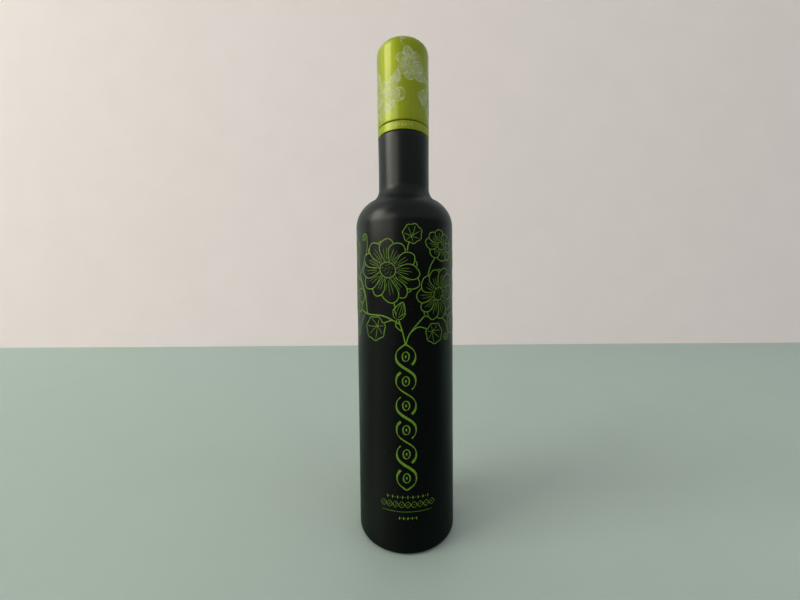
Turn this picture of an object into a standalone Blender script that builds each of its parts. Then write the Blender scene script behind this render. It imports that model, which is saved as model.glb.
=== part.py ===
"""A 500 ml olive oil bottle: black lacquered glass with a long aluminium screw closure.

Metres, +Z up. The origin is the centre of the flat ring that the bottle stands on, and its
printed front faces -Y. Every piece is turned, so each is a half profile swept round +Z.
"""

import math

import bpy

MM = 0.001
COLLECTION_NAME = "olive_oil_bottle"
TURN_STEPS = 64
SHARP_ANGLE = math.radians(40)
MERGE_DISTANCE = 0.02 * MM

# The whole bottle, standing on its base
TOTAL_HEIGHT = 297.0 * MM
FITTING_GAP = 0.3 * MM

# Glass body, a straight cylinder under a round shoulder
BODY_RADIUS = 30.0 * MM
SHOULDER_RADIUS = 17.8 * MM
SHOULDER_START = 188.0 * MM

# Foot. The glass stands on a flat ring round a shallow punt.
HEEL_RADIUS = 3.0 * MM
FOOT_INNER_RADIUS = 22.5 * MM
PUNT_HEIGHT = 3.0 * MM

# Neck. It swells a little below the closure, and ends in a ledge just under the tamper ring.
NECK_RADIUS = 15.64 * MM
NECK_FILLET = 9.9 * MM
NECK_SWELL = 0.12 * MM
NECK_SWELL_START = 226.0 * MM
LEDGE_ROUND = 0.4 * MM

# Closure. One drawn shell with its liner, cut round into a cap and the tamper ring below it.
CLOSURE_RADIUS = 15.9 * MM
CLOSURE_WALL = 1.0 * MM
CLOSURE_BOTTOM = 242.8 * MM
CLOSURE_TOP_ROUND = 4.7 * MM
CUT_HEIGHT = 248.0 * MM
CUT_GAP = 0.3 * MM
CUT_LIP_ROUND = 0.65 * MM
RING_FOOT_ROUND = 0.3 * MM

# Finishes: colour, roughness, metallic
BLACK_LACQUER = ("black_lacquer", (0.0025, 0.003, 0.003, 1.0), 0.33, 0.0)
LIME_ALUMINIUM = ("lime_aluminium", (0.39, 0.43, 0.001, 1.0), 0.5, 0.5)


def arc(centre_radius, centre_height, radius, start_degrees, end_degrees, steps):
    """Points of an arc in the half profile. Zero degrees points away from the axis, 90 up."""
    points = []
    for step in range(steps + 1):
        angle = math.radians(start_degrees + (end_degrees - start_degrees) * step / steps)
        points.append((centre_radius + radius * math.cos(angle), centre_height + radius * math.sin(angle)))
    return points


def neck_fillet():
    """Centre of the hollow curve between neck and shoulder, and the angle where it meets the shoulder."""
    centre_radius = NECK_RADIUS + NECK_FILLET
    across = centre_radius - (BODY_RADIUS - SHOULDER_RADIUS)
    rise = math.sqrt((SHOULDER_RADIUS + NECK_FILLET) ** 2 - across**2)
    return centre_radius, SHOULDER_START + rise, math.degrees(math.atan2(rise, across))


def neck_swell(low, high, steps):
    """Points up the neck between two heights, where it widens in a soft S, listed from the top down."""
    points = []
    for step in range(steps + 1):
        along = step / steps
        swing = (1 + math.cos(math.pi * along)) / 2
        points.append((NECK_RADIUS + NECK_SWELL * swing, high + (low - high) * along))
    return points


def bottle_profile():
    """The glass from its mouth, hidden in the closure, down its outer side to the middle of the punt."""
    finish_radius = CLOSURE_RADIUS - CLOSURE_WALL - FITTING_GAP
    mouth_height = TOTAL_HEIGHT - CLOSURE_WALL - FITTING_GAP
    mouth_round = CLOSURE_TOP_ROUND - CLOSURE_WALL - FITTING_GAP
    ledge_height = CLOSURE_BOTTOM - FITTING_GAP
    ledge_radius = NECK_RADIUS + NECK_SWELL
    fillet_radius, fillet_height, meeting_angle = neck_fillet()
    punt_radius = (FOOT_INNER_RADIUS**2 + PUNT_HEIGHT**2) / (2 * PUNT_HEIGHT)
    punt_angle = math.degrees(math.asin(FOOT_INNER_RADIUS / punt_radius))

    points = [(0.0, mouth_height)]
    points += arc(finish_radius - mouth_round, mouth_height - mouth_round, mouth_round, 90, 0, 6)
    points += [(finish_radius, ledge_height)]
    points += arc(ledge_radius - LEDGE_ROUND, ledge_height - LEDGE_ROUND, LEDGE_ROUND, 90, 0, 3)[:-1]
    points += neck_swell(NECK_SWELL_START, ledge_height - LEDGE_ROUND, 3)
    points += arc(fillet_radius, fillet_height, NECK_FILLET, 180, 180 + meeting_angle, 8)
    points += arc(BODY_RADIUS - SHOULDER_RADIUS, SHOULDER_START, SHOULDER_RADIUS, meeting_angle, 0, 12)[1:]
    points += arc(BODY_RADIUS - HEEL_RADIUS, HEEL_RADIUS, HEEL_RADIUS, 0, -90, 6)
    points += arc(0, PUNT_HEIGHT - punt_radius, punt_radius, 90 - punt_angle, 90, 5)
    return points


def cap_profile():
    """The cap as a cup: over its rounded top, down the skirt, round the cut lip and back up inside."""
    round_radius = CLOSURE_RADIUS - CLOSURE_TOP_ROUND
    round_height = TOTAL_HEIGHT - CLOSURE_TOP_ROUND
    inner_round = CLOSURE_TOP_ROUND - CLOSURE_WALL
    skirt_bottom = CUT_HEIGHT + CUT_GAP / 2

    points = [(0.0, TOTAL_HEIGHT)]
    points += arc(round_radius, round_height, CLOSURE_TOP_ROUND, 90, 0, 9)
    points += arc(CLOSURE_RADIUS - CUT_LIP_ROUND, skirt_bottom + CUT_LIP_ROUND, CUT_LIP_ROUND, 0, -90, 4)
    points += [(CLOSURE_RADIUS - CLOSURE_WALL, skirt_bottom)]
    points += arc(round_radius, round_height, inner_round, 0, 90, 6)
    points += [(0.0, TOTAL_HEIGHT - CLOSURE_WALL)]
    return points


def tamper_ring_profile():
    """The ring left round the neck below the cut: a closed outline with rounded outer edges."""
    inner_radius = CLOSURE_RADIUS - CLOSURE_WALL
    ring_top = CUT_HEIGHT - CUT_GAP / 2

    points = [(inner_radius, ring_top)]
    points += arc(CLOSURE_RADIUS - CUT_LIP_ROUND, ring_top - CUT_LIP_ROUND, CUT_LIP_ROUND, 90, 0, 4)
    points += arc(CLOSURE_RADIUS - RING_FOOT_ROUND, CLOSURE_BOTTOM + RING_FOOT_ROUND, RING_FOOT_ROUND, 0, -90, 3)
    points += [(inner_radius, CLOSURE_BOTTOM)]
    return points


def finish(name, colour, roughness, metallic):
    """A Principled material, made once and shared by the pieces that have that finish."""
    material = bpy.data.materials.new(name)
    material.use_nodes = True
    shader = material.node_tree.nodes["Principled BSDF"]
    shader.inputs["Base Color"].default_value = colour
    shader.inputs["Roughness"].default_value = roughness
    shader.inputs["Metallic"].default_value = metallic
    material.diffuse_color = colour
    return material


def turned(name, profile, closed_outline, material, collection):
    """A solid of revolution: the profile as an edge mesh, swept round +Z by a Screw, then made a mesh."""
    outline = bpy.data.meshes.new(name + "_profile")
    vertices = [(radius, 0.0, height) for radius, height in profile]
    edges = [(i, i + 1) for i in range(len(vertices) - 1)]
    if closed_outline:
        edges.append((len(vertices) - 1, 0))
    outline.from_pydata(vertices, edges, [])

    swept = bpy.data.objects.new(name + "_profile", outline)
    collection.objects.link(swept)
    screw = swept.modifiers.new("Turn", "SCREW")
    screw.axis = "Z"
    screw.steps = TURN_STEPS
    screw.render_steps = TURN_STEPS
    screw.use_merge_vertices = True
    screw.merge_threshold = MERGE_DISTANCE

    graph = bpy.context.evaluated_depsgraph_get()
    mesh = bpy.data.meshes.new_from_object(swept.evaluated_get(graph))
    mesh.name = name
    mesh.shade_smooth()
    mesh.set_sharp_from_angle(angle=SHARP_ANGLE)
    mesh.materials.clear()
    mesh.materials.append(material)
    bpy.data.objects.remove(swept)

    solid = bpy.data.objects.new(name, mesh)
    collection.objects.link(solid)


def main():
    for obj in list(bpy.data.objects):
        bpy.data.objects.remove(obj)
    collection = bpy.data.collections.new(COLLECTION_NAME)
    bpy.context.scene.collection.children.link(collection)

    lacquer = finish(*BLACK_LACQUER)
    aluminium = finish(*LIME_ALUMINIUM)
    turned("bottle", bottle_profile(), False, lacquer, collection)
    turned("cap", cap_profile(), False, aluminium, collection)
    turned("tamper_ring", tamper_ring_profile(), True, aluminium, collection)


main()
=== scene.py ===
"""Looks of a 500 ml olive oil bottle: black lacquered glass with screen-printed ornament, shut by a
lime aluminium screw closure.

Sizes are in millimetres and are scaled to metres where a mesh or a pattern is made. The printed
front faces -Y.
"""

import math
import random

import bpy
from mathutils import Matrix, Vector


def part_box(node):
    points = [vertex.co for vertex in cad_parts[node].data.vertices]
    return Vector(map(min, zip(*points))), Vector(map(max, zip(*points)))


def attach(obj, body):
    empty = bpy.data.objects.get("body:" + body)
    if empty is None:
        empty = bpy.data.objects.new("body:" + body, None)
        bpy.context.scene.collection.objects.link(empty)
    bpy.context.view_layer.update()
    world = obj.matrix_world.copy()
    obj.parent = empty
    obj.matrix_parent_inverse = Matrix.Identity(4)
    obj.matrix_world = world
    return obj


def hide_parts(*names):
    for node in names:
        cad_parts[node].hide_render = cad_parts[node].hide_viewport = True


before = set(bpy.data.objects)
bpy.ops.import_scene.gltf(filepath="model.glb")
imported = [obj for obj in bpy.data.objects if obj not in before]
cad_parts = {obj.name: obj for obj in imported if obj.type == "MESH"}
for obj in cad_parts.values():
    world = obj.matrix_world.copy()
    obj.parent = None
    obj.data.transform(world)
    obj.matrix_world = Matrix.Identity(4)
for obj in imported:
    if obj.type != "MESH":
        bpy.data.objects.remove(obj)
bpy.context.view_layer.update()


# The glass bottle. It is blown in a two-part mould, so a fine seam runs up each side. The whole
# outside is sprayed with opaque satin black lacquer and stoved. It stands on a knurled ring
# round a shallow punt.
MM = 0.001
BODY_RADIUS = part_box("bottle")[1][0] / MM
TOTAL_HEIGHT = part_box("cap")[1][2] / MM
CLOSURE_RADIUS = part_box("cap")[1][0] / MM
CLOSURE_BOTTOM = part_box("tamper_ring")[0][2] / MM
CLOSURE_WALL = 1.0
CLOSURE_TOP_ROUND = 4.7
FITTING_GAP = 0.3
SHOULDER_RADIUS = 17.8
SHOULDER_START = 188.0
NECK_RADIUS = 15.64
NECK_FILLET = 9.9
NECK_SWELL = 0.12
NECK_SWELL_START = 226.0
LEDGE_ROUND = 0.4
HEEL_RADIUS = 3.0
FOOT_INNER_RADIUS = 22.5
PUNT_HEIGHT = 3.0
GLASS_STEPS = 384
SWELL_STEPS = 8
BODY_RINGS = 6
BODY_RING_SPACING = 26.0
KNURLS = 96
KNURL_DEPTH = 0.25
KNURL_INNER_RADIUS = 23.0
KNURL_OUTER_RADIUS = 26.4
KNURL_EDGE = 0.3
SEAM_HEIGHT = 0.05
SEAM_WIDTH = 0.5
SEAM_STOP_BELOW_CLOSURE = 1.0
SHARP_ANGLE = math.radians(40)
MERGE_DISTANCE = 0.01
NEAR = 0.1


def arc(centre_radius, centre_height, radius, start_degrees, end_degrees, steps):
    """Points of an arc in the half profile. Zero degrees points away from the axis, 90 up."""
    points = []
    for step in range(steps + 1):
        angle = math.radians(start_degrees + (end_degrees - start_degrees) * step / steps)
        out, up = radius * math.cos(angle), radius * math.sin(angle)
        points.append((centre_radius + out, centre_height + up))
    return points


def turned(name, profile, steps, closed=False):
    """Sweeps a half profile, listed from the top down its outer side, round the bottle's axis."""
    outline = bpy.data.meshes.new(name + "_outline")
    edges = [(i, i + 1) for i in range(len(profile) - 1)]
    if closed:
        edges.append((len(profile) - 1, 0))
    outline.from_pydata([(radius * MM, 0.0, height * MM) for radius, height in profile], edges, [])
    swept = bpy.data.objects.new(name + "_outline", outline)
    bpy.context.collection.objects.link(swept)
    screw = swept.modifiers.new("Turn", "SCREW")
    screw.steps = steps
    screw.render_steps = steps
    screw.use_merge_vertices = True
    screw.merge_threshold = MERGE_DISTANCE * MM
    graph = bpy.context.evaluated_depsgraph_get()
    mesh = bpy.data.meshes.new_from_object(swept.evaluated_get(graph))
    mesh.name = name
    bpy.data.objects.remove(swept)
    mesh.shade_smooth()
    mesh.set_sharp_from_angle(angle=SHARP_ANGLE)
    piece = bpy.data.objects.new(name, mesh)
    bpy.context.collection.objects.link(piece)
    return piece


def glass_profile():
    """From the mouth, hidden in the closure, down the outside to the middle of the punt."""
    finish_radius = CLOSURE_RADIUS - CLOSURE_WALL - FITTING_GAP
    mouth_height = TOTAL_HEIGHT - CLOSURE_WALL - FITTING_GAP
    mouth_round = CLOSURE_TOP_ROUND - CLOSURE_WALL - FITTING_GAP
    ledge_height = CLOSURE_BOTTOM - FITTING_GAP
    ledge_centre = NECK_RADIUS + NECK_SWELL - LEDGE_ROUND
    swell_top = ledge_height - LEDGE_ROUND
    fillet_radius = NECK_RADIUS + NECK_FILLET
    shoulder_centre = BODY_RADIUS - SHOULDER_RADIUS
    across = fillet_radius - shoulder_centre
    rise = math.sqrt((SHOULDER_RADIUS + NECK_FILLET) ** 2 - across**2)
    meeting = math.degrees(math.atan2(rise, across))
    punt_radius = (FOOT_INNER_RADIUS**2 + PUNT_HEIGHT**2) / (2 * PUNT_HEIGHT)
    punt_angle = math.degrees(math.asin(FOOT_INNER_RADIUS / punt_radius))

    points = [(0.0, mouth_height)]
    points += arc(finish_radius - mouth_round, mouth_height - mouth_round, mouth_round, 90, 0, steps=8)
    points += [(finish_radius, ledge_height)]
    points += arc(ledge_centre, swell_top, LEDGE_ROUND, 90, 0, steps=4)[:-1]
    for step in range(SWELL_STEPS + 1):
        along = step / SWELL_STEPS
        swing = (1 + math.cos(math.pi * along)) / 2
        height = swell_top + (NECK_SWELL_START - swell_top) * along
        points.append((NECK_RADIUS + NECK_SWELL * swing, height))
    points += arc(fillet_radius, SHOULDER_START + rise, NECK_FILLET, 180, 180 + meeting, steps=20)
    points += arc(shoulder_centre, SHOULDER_START, SHOULDER_RADIUS, meeting, 0, steps=30)[1:]
    for ring in range(1, BODY_RINGS + 1):
        points.append((BODY_RADIUS, SHOULDER_START - BODY_RING_SPACING * ring))
    points += arc(BODY_RADIUS - HEEL_RADIUS, HEEL_RADIUS, HEEL_RADIUS, 0, -90, steps=14)
    knurl_radii = (KNURL_OUTER_RADIUS + KNURL_EDGE, KNURL_OUTER_RADIUS, KNURL_INNER_RADIUS)
    points += [(radius, 0.0) for radius in knurl_radii]
    points += arc(0, PUNT_HEIGHT - punt_radius, punt_radius, 90 - punt_angle, 90, steps=14)
    return points


glass = turned("glass_bottle", glass_profile(), GLASS_STEPS)
for vertex in glass.data.vertices:
    x, y, z = vertex.co / MM
    radius = math.hypot(x, y)
    if abs(z) < NEAR and KNURL_INNER_RADIUS - NEAR < radius < KNURL_OUTER_RADIUS + NEAR:
        vertex.co.z = KNURL_DEPTH * (0.5 - 0.5 * math.cos(KNURLS * math.atan2(y, x))) * MM
    if abs(y) < SEAM_WIDTH / 2 and HEEL_RADIUS < z < CLOSURE_BOTTOM - SEAM_STOP_BELOW_CLOSURE:
        vertex.co.x *= 1 + SEAM_HEIGHT / radius


def shader_group(name, inputs, outputs):
    """A node group with its sockets made, and its two ends to wire between."""
    group = bpy.data.node_groups.new(name, "ShaderNodeTree")
    for label, kind, value in inputs:
        socket = group.interface.new_socket(label, in_out="INPUT", socket_type="NodeSocket" + kind)
        if value is not None:
            socket.default_value = value
    for label, kind in outputs:
        group.interface.new_socket(label, in_out="OUTPUT", socket_type="NodeSocket" + kind)
    return group, group.nodes.new("NodeGroupInput"), group.nodes.new("NodeGroupOutput")


def node(tree, kind, links=None, **settings):
    """Adds one shader node, sets it up and wires its inputs."""
    made = tree.nodes.new("ShaderNode" + kind)
    for key, value in settings.items():
        setattr(made, key, value)
    for socket, source in (links or {}).items():
        if hasattr(source, "is_output"):
            tree.links.new(source, made.inputs[socket])
        else:
            made.inputs[socket].default_value = source
    return made


def noise(tree, vector, scale, detail=2.0, roughness=0.5):
    """Noise with features of about one over the scale, in metres."""
    settings = {"Vector": vector, "Scale": scale, "Detail": detail, "Roughness": roughness}
    return node(tree, "TexNoise", settings).outputs["Fac"]


def ramp(tree, value, low, high, bottom=0.0, top=1.0):
    """Stretches a value softly so that low to high becomes bottom to top, and holds it there."""
    links = {"Value": value, "From Min": low, "From Max": high, "To Min": bottom, "To Max": top}
    return node(tree, "MapRange", links, interpolation_type="SMOOTHSTEP").outputs["Result"]


def calculate(tree, operation, first, second=0.0):
    """One step of arithmetic on shader values."""
    return node(tree, "Math", {0: first, 1: second}, operation=operation).outputs[0]


def times(tree, first, second):
    return calculate(tree, "MULTIPLY", first, second)


def blend_colour(tree, factor, first, second):
    """From the first colour to the second. 6, 7 and 2 are the Mix node's sockets for colours."""
    links = {"Factor": factor, 6: first, 7: second}
    return node(tree, "Mix", links, data_type="RGBA").outputs[2]


# What every sprayed and stoved coat here shows: slow ripples as it flowed, and a fine matt grain.
MATT_GRAIN_SCALE = 7000.0

sprayed_coat, ends_in, ends_out = shader_group(
    "sprayed_coat",
    [("Position", "Vector", None), ("Ripple Scale", "Float", 700.0), ("Grain Share", "Float", 0.25)],
    [("Height", "Float")],
)
ripple = noise(sprayed_coat, ends_in.outputs["Position"], ends_in.outputs["Ripple Scale"], 1.0)
grain = noise(sprayed_coat, ends_in.outputs["Position"], MATT_GRAIN_SCALE, 3.0, 0.6)
grain_part = times(sprayed_coat, grain, ends_in.outputs["Grain Share"])
sprayed_coat.links.new(calculate(sprayed_coat, "ADD", ripple, grain_part), ends_out.inputs["Height"])

# What handling and a shelf leave on it: soft smears from fingers, and a few specks of dust.
SMEAR_EDGES = (0.46, 0.66)
SPECK_EDGES = (0.05, 0.09)
SPECK_CHOICE = (0.93, 0.95)

handling, ends_in, ends_out = shader_group(
    "handling",
    [("Position", "Vector", None), ("Smear Scale", "Float", 38.0), ("Speck Scale", "Float", 420.0)],
    [("Smears", "Float"), ("Specks", "Float")],
)
smear = noise(handling, ends_in.outputs["Position"], ends_in.outputs["Smear Scale"], 4.0, 0.62)
handling.links.new(ramp(handling, smear, *SMEAR_EDGES), ends_out.inputs["Smears"])
cells = node(
    handling, "TexVoronoi",
    {"Vector": ends_in.outputs["Position"], "Scale": ends_in.outputs["Speck Scale"], "Randomness": 1.0},
)
near_middle = ramp(handling, cells.outputs["Distance"], *SPECK_EDGES, 1.0, 0.0)
draw_of_cell = node(handling, "SeparateColor", {"Color": cells.outputs["Color"]}).outputs[0]
chosen = ramp(handling, draw_of_cell, *SPECK_CHOICE)
handling.links.new(times(handling, near_middle, chosen), ends_out.inputs["Specks"])


def coated_material(name):
    """A material with its shader, and the place on the object that its patterns follow."""
    material = bpy.data.materials.new(name)
    material.use_nodes = True
    tree = material.node_tree
    place = tree.nodes.new("ShaderNodeTexCoord").outputs["Object"]
    return material, tree, tree.nodes["Principled BSDF"], place


def use_group(tree, group, **values):
    """Places a shared effect in a material with that material's own values."""
    placed = tree.nodes.new("ShaderNodeGroup")
    placed.node_tree = group
    for label, value in values.items():
        socket = placed.inputs[label.replace("_", " ")]
        if hasattr(value, "is_output"):
            tree.links.new(value, socket)
        else:
            socket.default_value = value
    return placed


def relief(tree, shader, height, depth):
    """Turns a height, where one is full depth, into the surface's fine unevenness."""
    bump = node(tree, "Bump", {"Height": height, "Strength": 1.0, "Distance": depth * MM})
    tree.links.new(bump.outputs["Normal"], shader.inputs["Normal"])


LACQUER_BLACK = (0.0022, 0.0028, 0.0026, 1.0)
LACQUER_WORN = (0.012, 0.012, 0.0115, 1.0)
LACQUER_ROUGHNESS = (0.31, 0.34)
LACQUER_RELIEF = 0.004
DUST_COLOUR = (0.16, 0.155, 0.14, 1.0)
DUST_ON_LACQUER = 0.6
SMEAR_SHINE = -0.035
SCUFF_HEIGHTS = (0.0, 3.2 * MM)
SCUFF_PATCHES = (0.45, 0.7)
# The noise keeps mostly to this range.
NOISE_SPREAD = (0.3, 0.7)
# The spray lands drier in the hollow between shoulder and neck.
DRY_SPRAY_STARTS = (199.0 * MM, 203.0 * MM)
DRY_SPRAY_ENDS = (206.0 * MM, 212.0 * MM)
DRY_SPRAY_ROUGHNESS = 0.16

lacquer, tree, shader, place = coated_material("black_lacquer")
coat = use_group(tree, sprayed_coat, Position=place, Ripple_Scale=620.0, Grain_Share=0.35)
touch = use_group(tree, handling, Position=place, Smear_Scale=34.0, Speck_Scale=330.0)
height = node(tree, "SeparateXYZ", {"Vector": place}).outputs["Z"]
scuff = times(
    tree,
    ramp(tree, height, *SCUFF_HEIGHTS, 1.0, 0.0),
    ramp(tree, noise(tree, place, 260.0, 4.0, 0.7), *SCUFF_PATCHES),
)
colour = blend_colour(tree, scuff, LACQUER_BLACK, LACQUER_WORN)
dust = times(tree, touch.outputs["Specks"], DUST_ON_LACQUER)
tree.links.new(blend_colour(tree, dust, colour, DUST_COLOUR), shader.inputs["Base Color"])
mottle = ramp(tree, noise(tree, place, 120.0, 3.0), *NOISE_SPREAD, *LACQUER_ROUGHNESS)
dry_spray = times(
    tree,
    ramp(tree, height, *DRY_SPRAY_STARTS),
    ramp(tree, height, *DRY_SPRAY_ENDS, 1.0, 0.0),
)
sheen = calculate(tree, "ADD", mottle, times(tree, dry_spray, DRY_SPRAY_ROUGHNESS))
sheen = calculate(tree, "ADD", sheen, times(tree, touch.outputs["Smears"], SMEAR_SHINE))
tree.links.new(sheen, shader.inputs["Roughness"])
shader.inputs["Specular IOR Level"].default_value = 0.5
relief(tree, shader, coat.outputs["Height"], LACQUER_RELIEF)

glass.data.materials.append(lacquer)
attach(glass, "root")
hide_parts("bottle")


# The closure. Cap and tamper ring are one shell drawn from aluminium sheet that was lacquered lime
# and printed flat. It is rolled on over the glass thread, and cut round above the ring, where
# small bridges of metal hold the two together until the first opening.
CUT_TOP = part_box("cap")[0][2] / MM
CUT_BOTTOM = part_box("tamper_ring")[1][2] / MM
CUT_MIDDLE = (CUT_TOP + CUT_BOTTOM) / 2
CUT_LIP_ROUND = 0.65
RING_FOOT_ROUND = 0.3
CLOSURE_STEPS = 256
SKIRT_ROWS = 12
BRIDGES = 10
BRIDGE_WIDTH = 0.7
BRIDGE_GRIP = 0.15
BRIDGE_INSET = 0.1
BRIDGE_SOFTENING = 0.06
BOX_FACES = ((0, 2, 3, 1), (4, 5, 7, 6), (0, 1, 5, 4), (2, 6, 7, 3), (0, 4, 6, 2), (1, 3, 7, 5))
LIME_LACQUER = (0.395, 0.435, 0.001, 1.0)
LIME_DEEP = (0.37, 0.408, 0.0005, 1.0)
LIME_ROUGHNESS = (0.54, 0.6)
LIME_RELIEF = 0.002
BARE_METAL = (0.42, 0.43, 0.35, 1.0)
BARE_FROM_CUT = (0.2 * MM, 0.28 * MM)
BARE_PATCHES = (0.42, 0.55)
DRAWN_STRETCH = (1.0, 1.0, 0.03)
DRAWN_STREAKS = (0.35, 0.65)
SMEAR_DULLNESS = 0.05
DUST_ON_LIME = 0.5


def cap_profile():
    """A cup: over the rounded top, down the skirt, round the cut lip and back up inside."""
    round_radius = CLOSURE_RADIUS - CLOSURE_TOP_ROUND
    round_height = TOTAL_HEIGHT - CLOSURE_TOP_ROUND
    lip_radius, lip_height = CLOSURE_RADIUS - CUT_LIP_ROUND, CUT_TOP + CUT_LIP_ROUND
    skirt = round_height - CUT_TOP - CUT_LIP_ROUND
    points = [(0.0, TOTAL_HEIGHT), (round_radius / 2, TOTAL_HEIGHT)]
    points += arc(round_radius, round_height, CLOSURE_TOP_ROUND, 90, 0, steps=16)
    points += [(CLOSURE_RADIUS, round_height - skirt * row / SKIRT_ROWS) for row in range(1, SKIRT_ROWS)]
    points += arc(lip_radius, lip_height, CUT_LIP_ROUND, 0, -90, steps=6)
    points += [(CLOSURE_RADIUS - CLOSURE_WALL, CUT_TOP)]
    points += arc(round_radius, round_height, CLOSURE_TOP_ROUND - CLOSURE_WALL, 0, 90, steps=8)
    points += [(0.0, TOTAL_HEIGHT - CLOSURE_WALL)]
    return points


def ring_profile():
    """The band below the cut, closed round its inner side."""
    inner_radius = CLOSURE_RADIUS - CLOSURE_WALL
    lip_radius, lip_height = CLOSURE_RADIUS - CUT_LIP_ROUND, CUT_BOTTOM - CUT_LIP_ROUND
    foot_radius, foot_height = CLOSURE_RADIUS - RING_FOOT_ROUND, CLOSURE_BOTTOM + RING_FOOT_ROUND
    points = [(inner_radius, CUT_BOTTOM)]
    points += arc(lip_radius, lip_height, CUT_LIP_ROUND, 90, 0, steps=6)
    points += arc(foot_radius, foot_height, RING_FOOT_ROUND, 0, -90, steps=5)
    points += [(inner_radius, CLOSURE_BOTTOM)]
    return points


cap = turned("closure_cap", cap_profile(), CLOSURE_STEPS)
ring = turned("closure_tamper_ring", ring_profile(), CLOSURE_STEPS, closed=True)

bridge_corners, bridge_faces = [], []
for bridge in range(BRIDGES):
    turn = Matrix.Rotation(math.tau * (bridge + 0.5) / BRIDGES, 3, "Z")
    first = len(bridge_corners)
    for z in (CUT_BOTTOM - BRIDGE_GRIP, CUT_TOP + BRIDGE_GRIP):
        for y in (-BRIDGE_WIDTH / 2, BRIDGE_WIDTH / 2):
            for x in (CLOSURE_RADIUS - CLOSURE_WALL + BRIDGE_INSET, CLOSURE_RADIUS - CUT_LIP_ROUND):
                bridge_corners.append(turn @ Vector((x, y, z)) * MM)
    for face in BOX_FACES:
        bridge_faces.append([first + corner for corner in face])
bridge_mesh = bpy.data.meshes.new("closure_bridges")
bridge_mesh.from_pydata(bridge_corners, [], bridge_faces)
bridges = bpy.data.objects.new("closure_bridges", bridge_mesh)
bpy.context.collection.objects.link(bridges)
softened = bridges.modifiers.new("Soft edges", "BEVEL")
softened.width = BRIDGE_SOFTENING * MM
softened.segments = 2

aluminium, tree, shader, place = coated_material("lime_aluminium")
coat = use_group(tree, sprayed_coat, Position=place, Ripple_Scale=900.0, Grain_Share=0.15)
touch = use_group(tree, handling, Position=place, Smear_Scale=70.0, Speck_Scale=520.0)
drawn_place = node(tree, "VectorMath", {0: place, 1: DRAWN_STRETCH}, operation="MULTIPLY").outputs[0]
streaks = ramp(tree, noise(tree, drawn_place, 900.0, 3.0, 0.6), *DRAWN_STREAKS)
colour = blend_colour(tree, streaks, LIME_DEEP, LIME_LACQUER)
height = node(tree, "SeparateXYZ", {"Vector": place}).outputs["Z"]
from_cut = calculate(tree, "ABSOLUTE", calculate(tree, "SUBTRACT", height, CUT_MIDDLE * MM))
bare = times(
    tree,
    ramp(tree, from_cut, *BARE_FROM_CUT, 1.0, 0.0),
    ramp(tree, noise(tree, place, 900.0, 3.0), *BARE_PATCHES),
)
colour = blend_colour(tree, bare, colour, BARE_METAL)
dust = times(tree, touch.outputs["Specks"], DUST_ON_LIME)
tree.links.new(blend_colour(tree, dust, colour, DUST_COLOUR), shader.inputs["Base Color"])
shader.inputs["Metallic"].default_value = 0.5
shader.inputs["Specular IOR Level"].default_value = 0.2
sheen = ramp(tree, noise(tree, drawn_place, 500.0, 3.0), *NOISE_SPREAD, *LIME_ROUGHNESS)
sheen = calculate(tree, "ADD", sheen, times(tree, touch.outputs["Smears"], SMEAR_DULLNESS))
tree.links.new(sheen, shader.inputs["Roughness"])
shader.inputs["Coat Weight"].default_value = 0.62
shader.inputs["Coat IOR"].default_value = 1.58
shader.inputs["Coat Roughness"].default_value = 0.16
relief(tree, shader, coat.outputs["Height"], LIME_RELIEF)

for piece in (cap, ring, bridges):
    piece.data.materials.append(aluminium)
    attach(piece, "root")
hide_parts("cap")
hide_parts("tamper_ring")


# The flower print on the glass. Lime ink is pressed through a screen on the stoved lacquer and
# cured, so each line is a low ridge of ink with a crowned back. A bunch of open blossoms and
# buds rises from the head of the plait, and its left branch runs on round the bottle's side.
INK_SUNK = 0.05
INK_UNDERSIDE = 0.9
INK_CROWN = 0.1
INK_EDGE = 0.05
INK_FILM = (0.82, 1.12)
PEN_STEP = 0.6
OUTLINE_WIDTH = 0.56
VEIN_WIDTH = 0.27
STEM_WIDTH = 0.75
BUD_STEM_WIDTH = 0.7
SHORT_STEM_WIDTH = 0.65
LEAF_STALK_WIDTH = 0.6
TENDRIL_WIDTH = 0.55
ROUND_TIP = 0.08
LOZENGE_TIP = 0.06
GOLDEN_TURN = 2.39996
EYE_STEPS = 36
SEEDS_PER_AREA = 0.55
SEEDS_REACH = 0.76
PETAL_AIM = 0.05
PETAL_LENGTHS = (0.93, 1.05)
PETAL_WIDTHS = (0.84, 1.02)
PETAL_BEND = 0.1
BACK_ROW_SHORTER = 0.07
PETAL_LEAN = 1.45
PETAL_FULLNESS = 0.62
PETAL_VEINS = ((0.0, 0.8), (0.4, 0.66), (-0.4, 0.62))
NARROW_PETAL = 2.0
VEIN_STARTS = (0.1, 0.22)
VEIN_REACH = (0.8, 1.05)
VEIN_STEPS = 14
FILL_SHARE = 0.94
BUD_STEPS = 14
BUD_HALF_WIDTH = 0.3
BUD_FOLDS = (0.45, -0.1, -0.55)
BUD_FOLD_STEPS = 12
SEPAL = [(0.0, 0.0), (0.06, 0.2), (0.24, 0.31), (0.46, 0.36), (0.3, 0.2), (0.1, 0.05)]
LEAF_LOBES = 7
LEAF_LOBE_DEPTH = 0.055
LEAF_HUB = 0.35
LEAF_FILL = 0.97
LEAF_VEIN_REACH = (0.78, 0.9)
LEAF_VEIN_BOW = 0.06
COIL_STEPS = 24
COIL_CLOSING = 0.84


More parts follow.
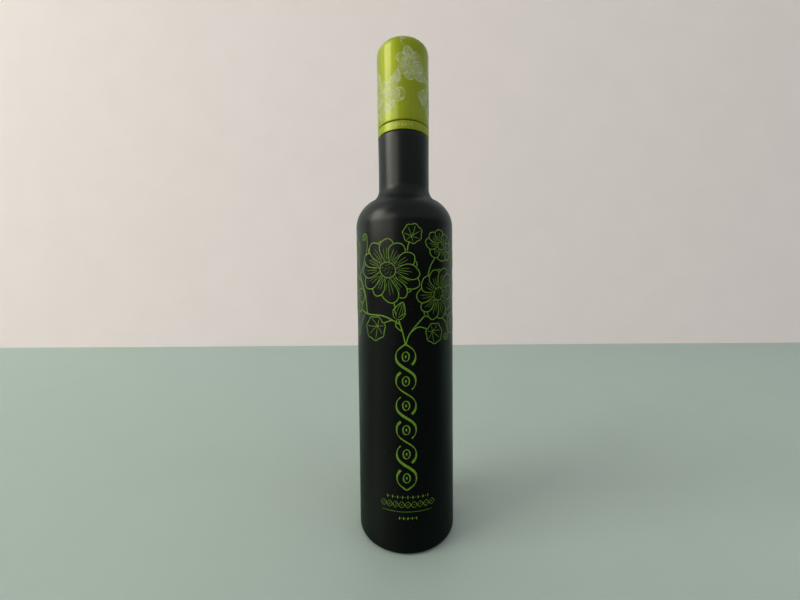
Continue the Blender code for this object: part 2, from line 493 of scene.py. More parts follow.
def smooth_curve(points, spacing=PEN_STEP):
    """A curve through given points, as evenly spaced as a pen moves."""
    ends = [points[0], *points, points[-1]]
    curve = []
    for a, b, c, d in zip(ends, ends[1:], ends[2:], ends[3:]):
        steps = max(2, round(math.dist(b, c) / spacing))
        for step in range(steps):
            t = step / steps
            curve.append(tuple(
                0.5 * (
                    2 * q + (r - p) * t + (2 * p - 5 * q + 4 * r - s) * t**2
                    + (3 * q - p - 3 * r + s) * t**3
                )
                for p, q, r, s in zip(a, b, c, d)
            ))
    curve.append(points[-1])
    return curve


def pen_line(points, width, start=1.0, end=1.0, swell=0.3):
    """Points with half widths: a line starts and ends at a share of its width, and is full between."""
    line = []
    for i, (x, y) in enumerate(points):
        along = i / (len(points) - 1)
        share = start if along < 0.5 else end
        rise = math.sin(min(1.0, min(along, 1 - along) / swell) * math.pi / 2)
        line.append((x, y, width / 2 * (share + (1 - share) * rise)))
    return line


def filled_round(centre, radius, tall=1.0, rows=5):
    """A dot or an oval as a very short, wide pen line."""
    line = []
    for row in range(rows):
        angle = math.pi * (row / (rows - 1) - 0.5)
        half = max(radius * math.cos(angle), radius * ROUND_TIP)
        line.append((centre[0], centre[1] + radius * tall * math.sin(angle), half))
    return line


def lozenge(centre, half_wide, half_high):
    """A lozenge as a pen line of three points."""
    x, y = centre
    tip = half_wide * LOZENGE_TIP
    return [(x, y - half_high, tip), (x, y, half_wide), (x, y + half_high, tip)]


def inside(x, y, outline):
    """True where a point lies within a closed outline."""
    within = False
    for (x0, y0), (x1, y1) in zip(outline, outline[1:] + outline[:1]):
        if (y0 > y) != (y1 > y) and x < x0 + (x1 - x0) * (y - y0) / (y1 - y0):
            within = not within
    return within


class Drawing:
    """Pen lines drawn from the front motif to the back ones. What lies in front hides the rest."""

    def __init__(self, seed):
        self.chance = random.Random(seed)
        self.lines = []
        self.fills = []
        self.fronts = []

    def front(self, outline):
        """Hides what is drawn later within this outline."""
        xs, ys = [x for x, _ in outline], [y for _, y in outline]
        self.fronts.append((min(xs), max(xs), min(ys), max(ys), outline))

    def hidden(self, x, y, fronts):
        return any(
            left <= x <= right and low <= y <= high and inside(x, y, outline)
            for left, right, low, high, outline in fronts
        )

    def keep_shown(self, line, fronts, kept):
        """Keeps the stretches of a line that nothing in front hides."""
        shown = []
        for point in line:
            if not self.hidden(point[0], point[1], fronts):
                shown.append(point)
                continue
            if len(shown) > 2:
                kept.append(shown)
            shown = []
        if len(shown) > 2:
            kept.append(shown)

    def draw(self, points, width, fronts=None, **ends):
        in_front = self.fronts if fronts is None else fronts
        self.keep_shown(pen_line(points, width, **ends), in_front, self.lines)

    def blossom(
        self, centre, radius, petals, squash=1.0, squash_angle=0.0, eye=0.24, rows=2, slim=1.0,
        outline=OUTLINE_WIDTH, vein=VEIN_WIDTH,
    ):
        """An open flower, seen a little from the side: rows of round petals about a seeded eye."""
        cos, sin = math.cos(math.radians(squash_angle)), math.sin(math.radians(squash_angle))

        def place(a, b):
            along, across = (a * cos + b * sin) * squash, b * cos - a * sin
            return centre[0] + along * cos - across * sin, centre[1] + along * sin + across * cos

        eye_radius = radius * eye
        turns = [math.tau * k / EYE_STEPS for k in range(EYE_STEPS + 1)]
        rim = [place(eye_radius * math.cos(a), eye_radius * math.sin(a)) for a in turns]
        self.draw(rim, outline * 0.8)
        self.front(rim[:-1])
        seeds = max(5, round(eye_radius**2 * SEEDS_PER_AREA))
        for seed in range(seeds):
            r, a = eye_radius * SEEDS_REACH * math.sqrt((seed + 0.4) / seeds), seed * GOLDEN_TURN
            self.lines.append(filled_round(place(r * math.cos(a), r * math.sin(a)), vein))
        for row in range(rows):
            for petal in range(petals):
                aim = math.tau * (petal + 0.5 * row) / petals + self.chance.uniform(-PETAL_AIM, PETAL_AIM)
                reach = radius * (1 - BACK_ROW_SHORTER * row) * self.chance.uniform(*PETAL_LENGTHS)
                half = reach * math.sin(math.pi / petals) * self.chance.uniform(*PETAL_WIDTHS) * slim
                bend = self.chance.uniform(-PETAL_BEND, PETAL_BEND)
                self.petal(place, eye_radius * 0.9, reach, half, aim, bend, outline, vein, row)

    def petal(self, place, inner, reach, half, aim, bend, outline, vein, row):
        """One petal, with veins and a fill where it is in the front row."""
        def at(t, side):
            fold = half * math.sin(math.pi * t**PETAL_LEAN) ** PETAL_FULLNESS * side
            along, turn = inner + (reach - inner) * t, aim + bend * t * t
            cos, sin = math.cos(turn), math.sin(turn)
            return place(along * cos - fold * sin, along * sin + fold * cos)

        steps = max(8, round(reach / PEN_STEP))
        edge = [at(i / steps, 1) for i in range(steps)]
        edge += [at(1 - i / steps, -1) for i in range(steps + 1)]
        in_front = list(self.fronts)
        self.draw(edge, outline, in_front, start=0.3, end=0.3, swell=0.4)
        for side, far in PETAL_VEINS:
            if side and (half < NARROW_PETAL or row):
                continue
            near, far = self.chance.uniform(*VEIN_STARTS), far * self.chance.uniform(*VEIN_REACH)
            line = [at(near + (far - near) * i / VEIN_STEPS, side) for i in range(VEIN_STEPS + 1)]
            self.draw(line, vein, in_front, start=0.5, end=0.2)
        if not row:
            self.fill_between(at, steps, in_front)
        self.front(edge)

    def fill_between(self, at, steps, fronts):
        """One wide line that covers a petal from side to side."""
        sides = [(at(i / steps, FILL_SHARE), at(i / steps, -FILL_SHARE)) for i in range(1, steps)]
        middle = [((a[0] + b[0]) / 2, (a[1] + b[1]) / 2, math.dist(a, b) / 2) for a, b in sides]
        self.keep_shown(middle, fronts, self.fills)

    def bud(self, base, angle, length, outline=OUTLINE_WIDTH, vein=VEIN_WIDTH):
        """A closed bud: folded petals that come to a point, held by two sepals."""
        cos, sin = math.cos(math.radians(angle)), math.sin(math.radians(angle))

        def place(t, side):
            return base[0] + length * (t * cos - side * sin), base[1] + length * (t * sin + side * cos)

        def at(t, side):
            return place(t, side * BUD_HALF_WIDTH * math.sin(math.pi * t**0.8) ** 0.8)

        for side in (1, -1):
            curve = smooth_curve([place(t, s * side) for t, s in SEPAL])
            self.draw(curve, outline * 0.75, start=0.6, end=0.5)
            self.front(curve)
        edge = [at(i / BUD_STEPS, 1) for i in range(BUD_STEPS + 1)]
        edge += [at(1 - i / BUD_STEPS, -1) for i in range(1, BUD_STEPS + 1)]
        self.draw(edge, outline, start=0.6, end=0.6)
        for side in BUD_FOLDS:
            fold = [at(i / BUD_FOLD_STEPS, side) for i in range(2, BUD_FOLD_STEPS)]
            self.draw(fold, vein, start=0.4, end=0.3)
        self.fill_between(at, BUD_STEPS, self.fronts)
        self.front(edge)

    def round_leaf(self, centre, radius, stalk_angle, outline=OUTLINE_WIDTH, vein=VEIN_WIDTH):
        """A round, softly lobed leaf whose veins spread from where its stalk joins."""
        join = math.radians(stalk_angle)
        to_hub = radius * LEAF_HUB
        hub = (centre[0] + to_hub * math.cos(join), centre[1] + to_hub * math.sin(join))

        def rim(angle):
            lobe_turn = LEAF_LOBES * (angle - join - math.pi / LEAF_LOBES)
            r = radius * (1 + LEAF_LOBE_DEPTH * math.cos(lobe_turn))
            return centre[0] + r * math.cos(angle), centre[1] + r * math.sin(angle)

        steps = round(math.tau * radius / PEN_STEP)
        edge = [rim(join + math.tau * k / steps) for k in range(steps + 1)]
        in_front = list(self.fronts)
        self.draw(edge, outline * 0.9, in_front)
        for lobe in range(LEAF_LOBES):
            tip = rim(join + math.pi / LEAF_LOBES + math.tau * lobe / LEAF_LOBES)
            reach = self.chance.uniform(*LEAF_VEIN_REACH)
            bow = self.chance.uniform(-LEAF_VEIN_BOW, LEAF_VEIN_BOW)
            dx, dy = (tip[0] - hub[0]) * reach, (tip[1] - hub[1]) * reach
            middle = (hub[0] + dx * 0.5 - dy * bow, hub[1] + dy * 0.5 + dx * bow)
            vein_line = smooth_curve([hub, middle, (hub[0] + dx, hub[1] + dy)])
            self.draw(vein_line, vein * 1.1, in_front, start=0.6, end=0.2)
        self.keep_shown(filled_round(centre, radius * LEAF_FILL, rows=14), in_front, self.fills)
        self.front(edge[:-1])
        return hub

    def tendril(self, points, curl, turns, hand, width=TENDRIL_WIDTH):
        """A climbing tendril: a bowed stalk that ends in a tightening coil."""
        stalk = smooth_curve(points)
        (x0, y0), (x1, y1) = stalk[-2:]
        heading = math.atan2(y1 - y0, x1 - x0)
        cx, cy = x1 - hand * curl * math.sin(heading), y1 + hand * curl * math.cos(heading)
        first = math.atan2(y1 - cy, x1 - cx)
        steps = round(turns * COIL_STEPS)
        for step in range(1, steps + 1):
            t = step / steps
            r, a = curl * (1 - COIL_CLOSING * t**0.8), first + hand * math.tau * turns * t
            stalk.append((cx + r * math.cos(a), cy + r * math.sin(a)))
        self.draw(stalk, width, start=0.9, end=0.6, swell=0.2)

    def stem(self, points, width=STEM_WIDTH):
        self.draw(smooth_curve(points), width, start=0.85, end=0.7)


def on_glass(x, y, film):
    """Wraps the flat drawing round the straight body: x round it from the front centre, y up."""
    angle, radius = x / BODY_RADIUS, BODY_RADIUS + film
    return radius * math.sin(angle) * MM, -radius * math.cos(angle) * MM, y * MM


def pressed_ink(name, lines, wrap, crown, edge, chance, across=2):
    """One piece of ink from pen lines. Each is a closed ridge with its underside sunk in the coat."""
    corners, faces = [], []
    girth = across + 3
    for line in lines:
        film = chance.uniform(*INK_FILM)
        first = len(corners)
        for i, (x, y, half) in enumerate(line):
            x0, y0, _ = line[max(i - 1, 0)]
            x1, y1, _ = line[min(i + 1, len(line) - 1)]
            length = math.hypot(x1 - x0, y1 - y0) or 1.0
            nx, ny = (y0 - y1) / length * half, (x1 - x0) / length * half
            for step in range(across + 1):
                side = 1 - 2 * step / across
                thickness = (crown + (edge - crown) * side**2) * film
                corners.append(wrap(x + nx * side, y + ny * side, thickness))
            for side in (-INK_UNDERSIDE, INK_UNDERSIDE):
                corners.append(wrap(x + nx * side, y + ny * side, -INK_SUNK))
        last = len(corners) - girth
        for start in range(first, last, girth):
            for side in range(girth):
                after = (side + 1) % girth
                faces.append((start + side, start + girth + side, start + girth + after, start + after))
        faces.append([first + side for side in range(girth)])
        faces.append([last + side for side in reversed(range(girth))])
    mesh = bpy.data.meshes.new(name)
    mesh.from_pydata(corners, [], faces)
    mesh.shade_smooth()
    mesh.set_sharp_from_angle(angle=SHARP_ANGLE)
    piece = bpy.data.objects.new(name, mesh)
    bpy.context.collection.objects.link(piece)
    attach(piece, "root")
    return piece


bunch = Drawing(seed=7)
bunch.blossom((-9.5, 161.0), 19.5, 12, squash=0.88, squash_angle=62)
bunch.blossom((20.5, 147.5), 15.5, 10, squash=0.82, squash_angle=-35)
bunch.blossom((-39.0, 147.5), 14.0, 9, squash=0.86, squash_angle=20)
bunch.blossom((22.5, 174.5), 10.5, 8, squash=0.8, squash_angle=70)
bunch.blossom((-67.0, 166.0), 12.5, 9, squash=0.9, squash_angle=-30)
bunch.bud((-34.0, 170.0), 112, 13.0)
bunch.bud((37.0, 162.5), 66, 12.5)
bunch.bud((-4.5, 134.0), 70, 10.0)
leaf_hubs = [
    bunch.round_leaf((-18.0, 128.5), 6.6, 40),
    bunch.round_leaf((17.5, 125.5), 5.6, 140),
    bunch.round_leaf((35.0, 130.0), 6.4, 150),
    bunch.round_leaf((-54.0, 135.0), 7.0, 50),
    bunch.round_leaf((4.5, 180.5), 5.2, 250),
    bunch.round_leaf((-78.0, 148.0), 6.4, 20),
]
bunch.tendril([(-27, 136.2), (-31, 130), (-33, 124.5)], 3.2, 1.6, -1)
bunch.tendril([(12, 135.5), (21, 134.5), (27, 131), (29.5, 124)], 2.8, 1.6, -1)
bunch.tendril([(33, 150), (39, 148), (43.5, 150.5)], 3.0, 1.6, 1)
bunch.tendril([(-30, 160), (-24, 172), (-23.5, 180)], 2.6, 1.5, 1)
bunch.tendril([(-58, 148), (-66, 148.5), (-70, 153)], 2.4, 1.5, 1)
bunch.stem([(0.2, 119.6), (-1.2, 126), (-3.6, 134), (-7.0, 146)])
bunch.stem([(0.2, 119.6), (2.6, 126), (9, 133.5), (17, 141)])
bunch.stem([(-2.6, 131), (-12, 135.5), (-24, 136.5), (-33, 140)])
bunch.stem([(14, 138), (12.5, 150), (14.5, 162), (20, 170)])
bunch.stem([(20, 136), (29, 142), (34.5, 151), (37, 162.5)], BUD_STEM_WIDTH)
bunch.stem([(-24, 136.5), (-26, 148), (-31, 158), (-34, 170)], BUD_STEM_WIDTH)
bunch.stem([(-41, 138), (-50, 142.5), (-58, 149), (-64, 158)])
bunch.stem([(-1.2, 127), (-5.0, 130), (-4.5, 134)], SHORT_STEM_WIDTH)
leaf_stalks = [
    [(-6.5, 133.5), (-10, 132.5)],
    [(3.6, 127), (8, 129.5)],
    [(22, 137), (27, 136)],
    [(-45, 141), (-49, 139.5)],
    [(1.5, 169), (2.0, 174)],
    [(-60, 151), (-68, 149)],
]
for stalk, hub in zip(leaf_stalks, leaf_hubs):
    bunch.stem([*stalk, hub], LEAF_STALK_WIDTH)
flowers = pressed_ink("printed_flowers", bunch.lines, on_glass, INK_CROWN, INK_EDGE, bunch.chance)

LIME_INK = (0.175, 0.315, 0.024, 1.0)
LIME_INK_THIN = (0.11, 0.21, 0.017, 1.0)
INK_COVERAGE = (0.36, 0.52)
INK_ROUGHNESS = (0.36, 0.46)
INK_RELIEF = 0.004
DUST_ON_INK = 0.4

ink, tree, shader, place = coated_material("lime_ink")
coat = use_group(tree, sprayed_coat, Position=place, Ripple_Scale=1500.0, Grain_Share=0.5)
touch = use_group(tree, handling, Position=place, Smear_Scale=34.0, Speck_Scale=330.0)
coverage = ramp(tree, noise(tree, place, 1400.0, 4.0, 0.6), *INK_COVERAGE)
colour = blend_colour(tree, coverage, LIME_INK_THIN, LIME_INK)
dust = times(tree, touch.outputs["Specks"], DUST_ON_INK)
tree.links.new(blend_colour(tree, dust, colour, DUST_COLOUR), shader.inputs["Base Color"])
sheen = ramp(tree, noise(tree, place, 300.0, 2.0), *NOISE_SPREAD, *INK_ROUGHNESS)
tree.links.new(sheen, shader.inputs["Roughness"])
shader.inputs["Specular IOR Level"].default_value = 0.36
relief(tree, shader, coat.outputs["Height"], INK_RELIEF)
flowers.data.materials.append(ink)


# The plait below the flowers, up the middle of the front. It is the same ink in the same print:
# two ribbons, thick and thin like a broad pen's stroke, that cross over and under each other
# between six beaded eyes.
PLAIT_BOTTOM = 38.2
PLAIT_TOP = 120.2
PLAIT_CENTRE = 0.2
PLAIT_REACH = 6.2
PLAIT_FULLNESS = 0.12
PLAIT_EYES = 6
PLAIT_GAP = 1.75
NIB_THIN = 0.44
NIB_THICK = 1.5
NIB_LEAN = 28
NIB_CONTRAST = 1.3
BEAD_SIZE = (1.9, 2.6)
BEAD_NIB = (0.35, 0.8, 20)
BEAD_STEPS = 32
BEAD_LOZENGE = (0.6, 1.1)


def nib_line(points, thin, thick, nib_angle):
    """A broad pen held at one angle: thick across the nib and thin along it."""
    line = []
    for i, (x, y) in enumerate(points):
        (x0, y0), (x1, y1) = points[max(i - 1, 0)], points[min(i + 1, len(points) - 1)]
        across = abs(math.sin(math.atan2(y1 - y0, x1 - x0) - math.radians(nib_angle)))
        line.append((x, y, (thin + (thick - thin) * across**NIB_CONTRAST) / 2))
    return line


eye_height = (PLAIT_TOP - PLAIT_BOTTOM) / PLAIT_EYES
plait_lines = []
for hand in (1, -1):
    steps = round((PLAIT_TOP - PLAIT_BOTTOM) / PEN_STEP)
    ribbon = []
    for step in range(steps + 1):
        y = PLAIT_BOTTOM + (PLAIT_TOP - PLAIT_BOTTOM) * step / steps
        phase = math.pi * (y - PLAIT_BOTTOM) / eye_height
        reach = PLAIT_REACH * math.sin(phase) * (1 + PLAIT_FULLNESS * math.cos(2 * phase))
        ribbon.append((PLAIT_CENTRE + hand * reach, y))
    shown = []
    for point in nib_line(ribbon, NIB_THIN, NIB_THICK, 90 - NIB_LEAN * hand):
        crossings = [PLAIT_BOTTOM + k * eye_height for k in range(1, PLAIT_EYES)]
        distances = [abs(crossing - point[1]) for crossing in crossings]
        nearest = distances.index(min(distances)) + 1
        goes_under = (nearest % 2 == 0) == (hand > 0)
        if goes_under and min(distances) < PLAIT_GAP:
            if shown:
                plait_lines.append(shown)
            shown = []
            continue
        shown.append(point)
    plait_lines.append(shown)
for eye in range(PLAIT_EYES):
    y = PLAIT_BOTTOM + (eye + 0.5) * eye_height
    turns = [math.tau * k / BEAD_STEPS for k in range(BEAD_STEPS + 1)]
    bead = [(PLAIT_CENTRE + BEAD_SIZE[0] * math.cos(a), y + BEAD_SIZE[1] * math.sin(a)) for a in turns]
    plait_lines.append(nib_line(bead, *BEAD_NIB))
    plait_lines.append(lozenge((PLAIT_CENTRE, y), *BEAD_LOZENGE))
plait = pressed_ink("printed_plait", plait_lines, on_glass, INK_CROWN, INK_EDGE, random.Random(11))
plait.data.materials.append(ink)


# The small rows near the foot, printed with the rest: a fine row of lozenges and dots, a taller
# band of linked rhombs, a hairline rule and a short row of lozenges under it. They are the finest
# strokes that the screen holds, so the ink lies thinner here.
SMALL_CENTRE = 0.7
SMALL_FILM = 0.7
# A row's middle height, its length, and half the height of its marks
UPPER_ROW = (34.1, 26.0, 1.1)
UPPER_LOZENGES = 9
RHOMB_BAND = (29.8, 31.6, 1.75)
RHOMBS = 9
RHOMB_NIB = (0.18, 0.34, 35)
RHOMB_DOT = 0.24
RULE_CENTRE = 0.35
RULE_HEIGHT = 25.7
RULE_LENGTH = 29.7
RULE_WIDTH = 0.22
RULE_STEPS = 40
LAST_ROW = (22.0, 12.0, 1.1)
LAST_LOZENGES = 5
LOZENGE_SLIMNESS = 0.42
LOZENGE_DOT = 0.22


def lozenge_row(middle, length, half_high, count, centre=SMALL_CENTRE):
    """Lozenges with a dot between each two."""
    row = []
    for k in range(count):
        x = centre + length * ((k + 0.5) / count - 0.5)
        row.append(lozenge((x, middle), half_high * LOZENGE_SLIMNESS, half_high))
        if k < count - 1:
            row.append(filled_round((x + length / count / 2, middle), half_high * LOZENGE_DOT))
    return row


row_lines = lozenge_row(*UPPER_ROW, UPPER_LOZENGES)
middle, length, half_high = RHOMB_BAND
for k in range(RHOMBS):
    x = SMALL_CENTRE + length * ((k + 0.5) / RHOMBS - 0.5)
    wide = length / RHOMBS / 2
    for hand in (1, -1):
        side = [(x - wide, middle), (x, middle + hand * half_high), (x + wide, middle)]
        row_lines.append(nib_line(smooth_curve(side), *RHOMB_NIB))
    row_lines.append(filled_round((x, middle), RHOMB_DOT, tall=1.5))
rule = [
    (RULE_CENTRE + RULE_LENGTH * (k / RULE_STEPS - 0.5), RULE_HEIGHT) for k in range(RULE_STEPS + 1)
]
row_lines.append(pen_line(rule, RULE_WIDTH, start=0.4, end=0.4, swell=0.1))
row_lines += lozenge_row(*LAST_ROW, LAST_LOZENGES)
rows = pressed_ink(
    "printed_rows", row_lines, on_glass, INK_CROWN * SMALL_FILM, INK_EDGE * SMALL_FILM,
    random.Random(13),
)
rows.data.materials.append(ink)


# The print on the closure, put on the flat sheet before it was drawn, so it runs over the rounded
# top edge. Blossoms, leaves and tendrils go all round in two passes of white ink: a see-through
# veil that fills them, and denser fine lines. A short row of lozenges marks the tamper ring.
VEIL_CROWN = 0.06
VEIL_EDGE = 0.03
LINE_CROWN = 0.1
LINE_EDGE = 0.05
CLOSURE_PEN = {"outline": 0.6, "vein": 0.34}
CLOSURE_TENDRIL_WIDTH = 0.36
CLOSURE_ROUND_START = TOTAL_HEIGHT - CLOSURE_TOP_ROUND
GIRTH = math.tau * CLOSURE_RADIUS
POSIES = 6
WREATH_START = 4.5
WREATH_SCATTER = 0.8
BLOSSOM_HEIGHTS = (262.0, 279.5)
BLOSSOM_REACH = (10.0, 11.0)
BLOSSOM_PETALS = 7
LEAF_HEIGHTS = (275.5, 262.5)
LEAF_RADIUS = 3.8
LEAF_ANGLES = (300, 240)
BUD_HEIGHTS = (268.0, 266.0)
BUD_ANGLES = (75, -75)
BUD_LENGTH = 8.5
RING_ROW = (245.3, 10.5, 0.8)
RING_LOZENGES = 6
RING_CENTRE = 0.5


def on_closure(x, y, film):
    """Wraps the flat drawing round the closure, and over its rounded edge where y is high enough."""
    over = max(0.0, y - CLOSURE_ROUND_START) / CLOSURE_TOP_ROUND
    over = min(over, math.pi / 2)
    radius = CLOSURE_RADIUS - CLOSURE_TOP_ROUND + (CLOSURE_TOP_ROUND + film) * math.cos(over)
    height = min(y, CLOSURE_ROUND_START) + (CLOSURE_TOP_ROUND + film) * math.sin(over)
    angle = x / CLOSURE_RADIUS
    return radius * math.sin(angle) * MM, -radius * math.cos(angle) * MM, height * MM


wreath = Drawing(seed=23)
for k in range(POSIES):
    odd = k % 2
    x = GIRTH * (k / POSIES - 0.5) + wreath.chance.uniform(-WREATH_SCATTER, WREATH_SCATTER) + WREATH_START
    y = BLOSSOM_HEIGHTS[odd] + wreath.chance.uniform(-WREATH_SCATTER, WREATH_SCATTER)
    reach = wreath.chance.uniform(*BLOSSOM_REACH)
    wreath.blossom(
        (x, y), reach, BLOSSOM_PETALS, squash=0.88, squash_angle=70 * k, eye=0.17, rows=1, slim=0.74,
        **CLOSURE_PEN,
    )
    wreath.round_leaf((x - 7.5, LEAF_HEIGHTS[odd]), LEAF_RADIUS, LEAF_ANGLES[odd], **CLOSURE_PEN)
    wreath.bud((x + 7.0, BUD_HEIGHTS[odd]), BUD_ANGLES[odd], BUD_LENGTH, **CLOSURE_PEN)
    stalk = [(x - 2, y + 8), (x - 5, y + 11), (x - 6, y + 14)]
    wreath.tendril(stalk, 1.7, 1.4, -1 if odd else 1, CLOSURE_TENDRIL_WIDTH)
wreath.lines += lozenge_row(*RING_ROW, RING_LOZENGES, RING_CENTRE)
veils = pressed_ink(
    "closure_print_veils", wreath.fills, on_closure, VEIL_CROWN, VEIL_EDGE, wreath.chance, across=6,
)
fine_lines = pressed_ink(
    "closure_print_lines", wreath.lines, on_closure, LINE_CROWN, LINE_EDGE, wreath.chance,
)

WHITE_INK = (0.86, 0.88, 0.6, 1.0)
WHITE_INK_PATCHES = (0.36, 0.62)
WHITE_INK_RELIEF = 0.002
VEIL_DENSITY = (0.1, 0.32)
LINE_DENSITY = (0.34, 0.62)

for piece, density in ((veils, VEIL_DENSITY), (fine_lines, LINE_DENSITY)):
    pale, tree, shader, place = coated_material(piece.name)
    coat = use_group(tree, sprayed_coat, Position=place, Ripple_Scale=1500.0, Grain_Share=0.5)
    shader.inputs["Base Color"].default_value = WHITE_INK
    coverage = ramp(tree, noise(tree, place, 260.0, 2.0, 0.5), *WHITE_INK_PATCHES, *density)
    tree.links.new(coverage, shader.inputs["Alpha"])
    shader.inputs["Roughness"].default_value = 0.2
    relief(tree, shader, coat.outputs["Height"], WHITE_INK_RELIEF)
    piece.data.materials.append(pale)


# The floor that it stands on, and the pale wall behind it. Glossy rays see painted reflections on them
# instead of their own colours: a painted shade on the floor in front of the bottle, lighter floor tones
# close by on its left and lighter still behind it, and a darker, cooler wall.
FLOOR_SIZE = 8.0
WALL_DISTANCE = 0.62
FLOOR_COLOUR = (0.43, 0.505, 0.46, 1.0)
FLOOR_ROUGHNESS = 0.42
# Painted reflections of the floor, seen only by glossy rays: a painted shade in front of the bottle,
# lighter tones close by on its left and behind it.
FLOOR_PAINTED_REFLECTION_FRONT = (0.018, 0.05, 0.036, 1.0)
FLOOR_PAINTED_REFLECTION_BEHIND = (0.26, 0.37, 0.31, 1.0)
FLOOR_PAINTED_REFLECTION_BESIDE = (0.13, 0.2, 0.15, 1.0)
WALL_COLOUR = (0.97, 0.86, 0.865, 1.0)
WALL_ROUGHNESS = 0.8
# Painted reflection of the wall, seen only by glossy rays: darker and cooler than its own colour.
WALL_PAINTED_REFLECTION = (0.76, 0.81, 0.82, 1.0)
SHADED_SHARE = 0.985
# Where the painted reflection tones change: towards the back, and close by on the left.
BEHIND_FROM = (-0.08, 0.12)
CLOSE_BY = (0.05, 0.2)
BESIDE_FROM = (-0.06, 0.01)


def plain_and_painted_reflection(name, colour, roughness, in_front, behind, beside):
    """A plain, faintly uneven surface, with painted reflection colours that glossy rays see instead of it.
    """
    material, tree, shader, place = coated_material(name)
    shade = ramp(tree, noise(tree, place, 14.0, 3.0), *NOISE_SPREAD)
    darker = tuple(channel * SHADED_SHARE for channel in colour[:3]) + (1.0,)
    plain = blend_colour(tree, shade, darker, colour)
    spot = node(tree, "SeparateXYZ", {"Vector": place}).outputs
    # Painted reflection: darkest in front, lighter towards the back, and lighter close by on the left.
    mirrored = blend_colour(tree, ramp(tree, spot["Y"], *BEHIND_FROM), in_front, behind)
    distance = node(tree, "VectorMath", {0: place}, operation="LENGTH").outputs["Value"]
    painted_near_left = times(
        tree,
        ramp(tree, distance, *CLOSE_BY, 1.0, 0.0),
        ramp(tree, spot["X"], *BESIDE_FROM, 1.0, 0.0),
    )
    mirrored = blend_colour(tree, painted_near_left, mirrored, beside)
    # Glossy rays see the painted reflection tones instead of the surface's own colour.
    in_gloss = node(tree, "LightPath").outputs["Is Glossy Ray"]
    tree.links.new(blend_colour(tree, in_gloss, plain, mirrored), shader.inputs["Base Color"])
    shader.inputs["Roughness"].default_value = roughness
    return material


def flat_panel(name, corners, material):
    mesh = bpy.data.meshes.new(name)
    mesh.from_pydata(corners, [], [(0, 1, 2, 3)])
    mesh.materials.append(material)
    panel = bpy.data.objects.new(name, mesh)
    bpy.context.collection.objects.link(panel)


half = FLOOR_SIZE / 2
floor_and_painted_reflection = plain_and_painted_reflection(
    "floor_and_painted_reflection", FLOOR_COLOUR, FLOOR_ROUGHNESS,
    FLOOR_PAINTED_REFLECTION_FRONT, FLOOR_PAINTED_REFLECTION_BEHIND, FLOOR_PAINTED_REFLECTION_BESIDE,
)
wall_and_painted_reflection = plain_and_painted_reflection(
    "backdrop_and_painted_reflection", WALL_COLOUR, WALL_ROUGHNESS, WALL_PAINTED_REFLECTION, WALL_PAINTED_REFLECTION, WALL_PAINTED_REFLECTION,
)
flat_panel("floor", [(-half, -half, 0), (half, -half, 0), (half, half, 0), (-half, half, 0)], floor_and_painted_reflection)
wall_corners = [(-half, 0), (half, 0), (half, half), (-half, half)]
flat_panel("backdrop", [(x, WALL_DISTANCE, z) for x, z in wall_corners], wall_and_painted_reflection)


# The light: a tall soft window to the left and a little in front, with fainter panes beside and
# above it, and a dim room that is darkest low down and gets darker overhead towards the wall.
# Glossy surfaces don't mirror the window's glow or the broad fill from the right.
def soft_light(name, azimuth, elevation, distance, width, height, radiance, colour, mirrored=True):
    """An area light aimed at the bottle. Azimuth is from the front, with minus on the left."""
    a, e = math.radians(azimuth), math.radians(elevation)
    aim = Vector((0, 0, TOTAL_HEIGHT / 2 * MM))
    place = aim + Vector((math.sin(a) * math.cos(e), -math.cos(a) * math.cos(e), math.sin(e))) * distance
    data = bpy.data.lights.new(name, "AREA")
    data.shape = "RECTANGLE"
    data.size, data.size_y = width, height
    data.energy = radiance * math.pi * width * height
    data.color = colour
    lamp = bpy.data.objects.new(name, data)
    lamp.location = place
    lamp.rotation_euler = (aim - place).to_track_quat("-Z", "Y").to_euler()
    lamp.visible_camera = False
    lamp.visible_glossy = mirrored
    bpy.context.collection.objects.link(lamp)


soft_light("window", -70, 29, 5.0, 2.4, 2.9, 4.8, (1.0, 0.98, 0.86))
soft_light("window_glow", -70, 29, 5.1, 2.4, 2.9, 1.0, (1.0, 0.98, 0.92), mirrored=False)
soft_light("window_side", -40, 22, 5.0, 2.5, 2.0, 2.4, (1.0, 0.98, 0.88))
soft_light("window_top", -74, 56, 5.0, 2.0, 1.8, 0.85, (1.0, 0.98, 0.9))
soft_light("fill", 48, 46, 4.0, 4.0, 4.0, 0.67, (1.0, 0.99, 0.97), mirrored=False)

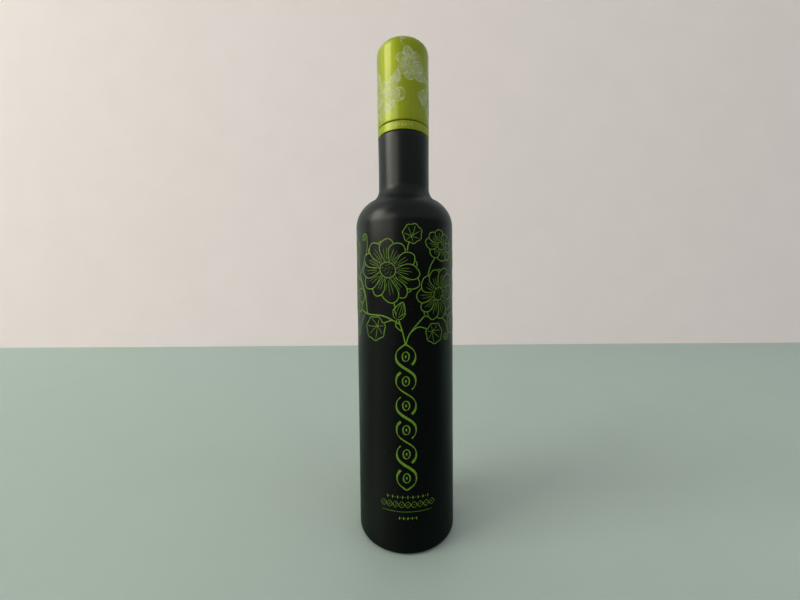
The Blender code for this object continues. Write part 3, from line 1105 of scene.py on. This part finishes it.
ROOM_DARK = (0.0, 0.0, 0.0, 1.0)
ROOM_LIGHT = (0.9, 1.0, 1.04, 1.0)
ROOM_SEEN = (0.6, 0.58, 0.55, 1.0)
WALL_LIGHT_RISE = (0.13, 0.4)
WALL_LIGHT = (0.015, 0.48)
OVERHEAD_SPAN = (-0.1, 0.35)
OVERHEAD_LIGHT = (0.8, 0.5)
CEILING_RISE = (0.45, 0.75)

world = bpy.data.worlds.new("room")
bpy.context.scene.world = world
world.use_nodes = True
tree = world.node_tree
generated = tree.nodes.new("ShaderNodeTexCoord").outputs["Generated"]
direction = node(tree, "SeparateXYZ", {"Vector": generated}).outputs
wall_light = ramp(tree, direction["Z"], *WALL_LIGHT_RISE, *WALL_LIGHT)
overhead = ramp(tree, direction["Y"], *OVERHEAD_SPAN, *OVERHEAD_LIGHT)
ceiling = ramp(tree, direction["Z"], *CEILING_RISE, 1.0, overhead)
room = blend_colour(tree, times(tree, wall_light, ceiling), ROOM_DARK, ROOM_LIGHT)
seen = node(tree, "LightPath").outputs["Is Camera Ray"]
tree.links.new(blend_colour(tree, seen, room, ROOM_SEEN), tree.nodes["Background"].inputs["Color"])

bpy.context.scene.view_settings.view_transform = "Standard"
bpy.context.scene.view_settings.gamma = 0.88


# The camera, close in front with a wide lens and looking slightly down.
CAMERA_PLACE = (0.0, -0.2024, 0.1515)
CAMERA_YAW = 0.88
CAMERA_PITCH = 2.32
CAMERA_ROLL = -0.551
CAMERA_LENS = 14.26
CAMERA_SENSOR = 36.0
CAMERA_NEAREST = 0.01

camera_data = bpy.data.cameras.new("camera")
camera_data.sensor_width = CAMERA_SENSOR
camera_data.lens = CAMERA_LENS
camera_data.clip_start = CAMERA_NEAREST
camera = bpy.data.objects.new("camera", camera_data)
camera.matrix_world = (
    Matrix.Translation(CAMERA_PLACE)
    @ Matrix.Rotation(math.radians(CAMERA_YAW), 4, "Z")
    @ Matrix.Rotation(math.radians(90 - CAMERA_PITCH), 4, "X")
    @ Matrix.Rotation(math.radians(CAMERA_ROLL), 4, "Z")
)
bpy.context.collection.objects.link(camera)
bpy.context.scene.camera = camera
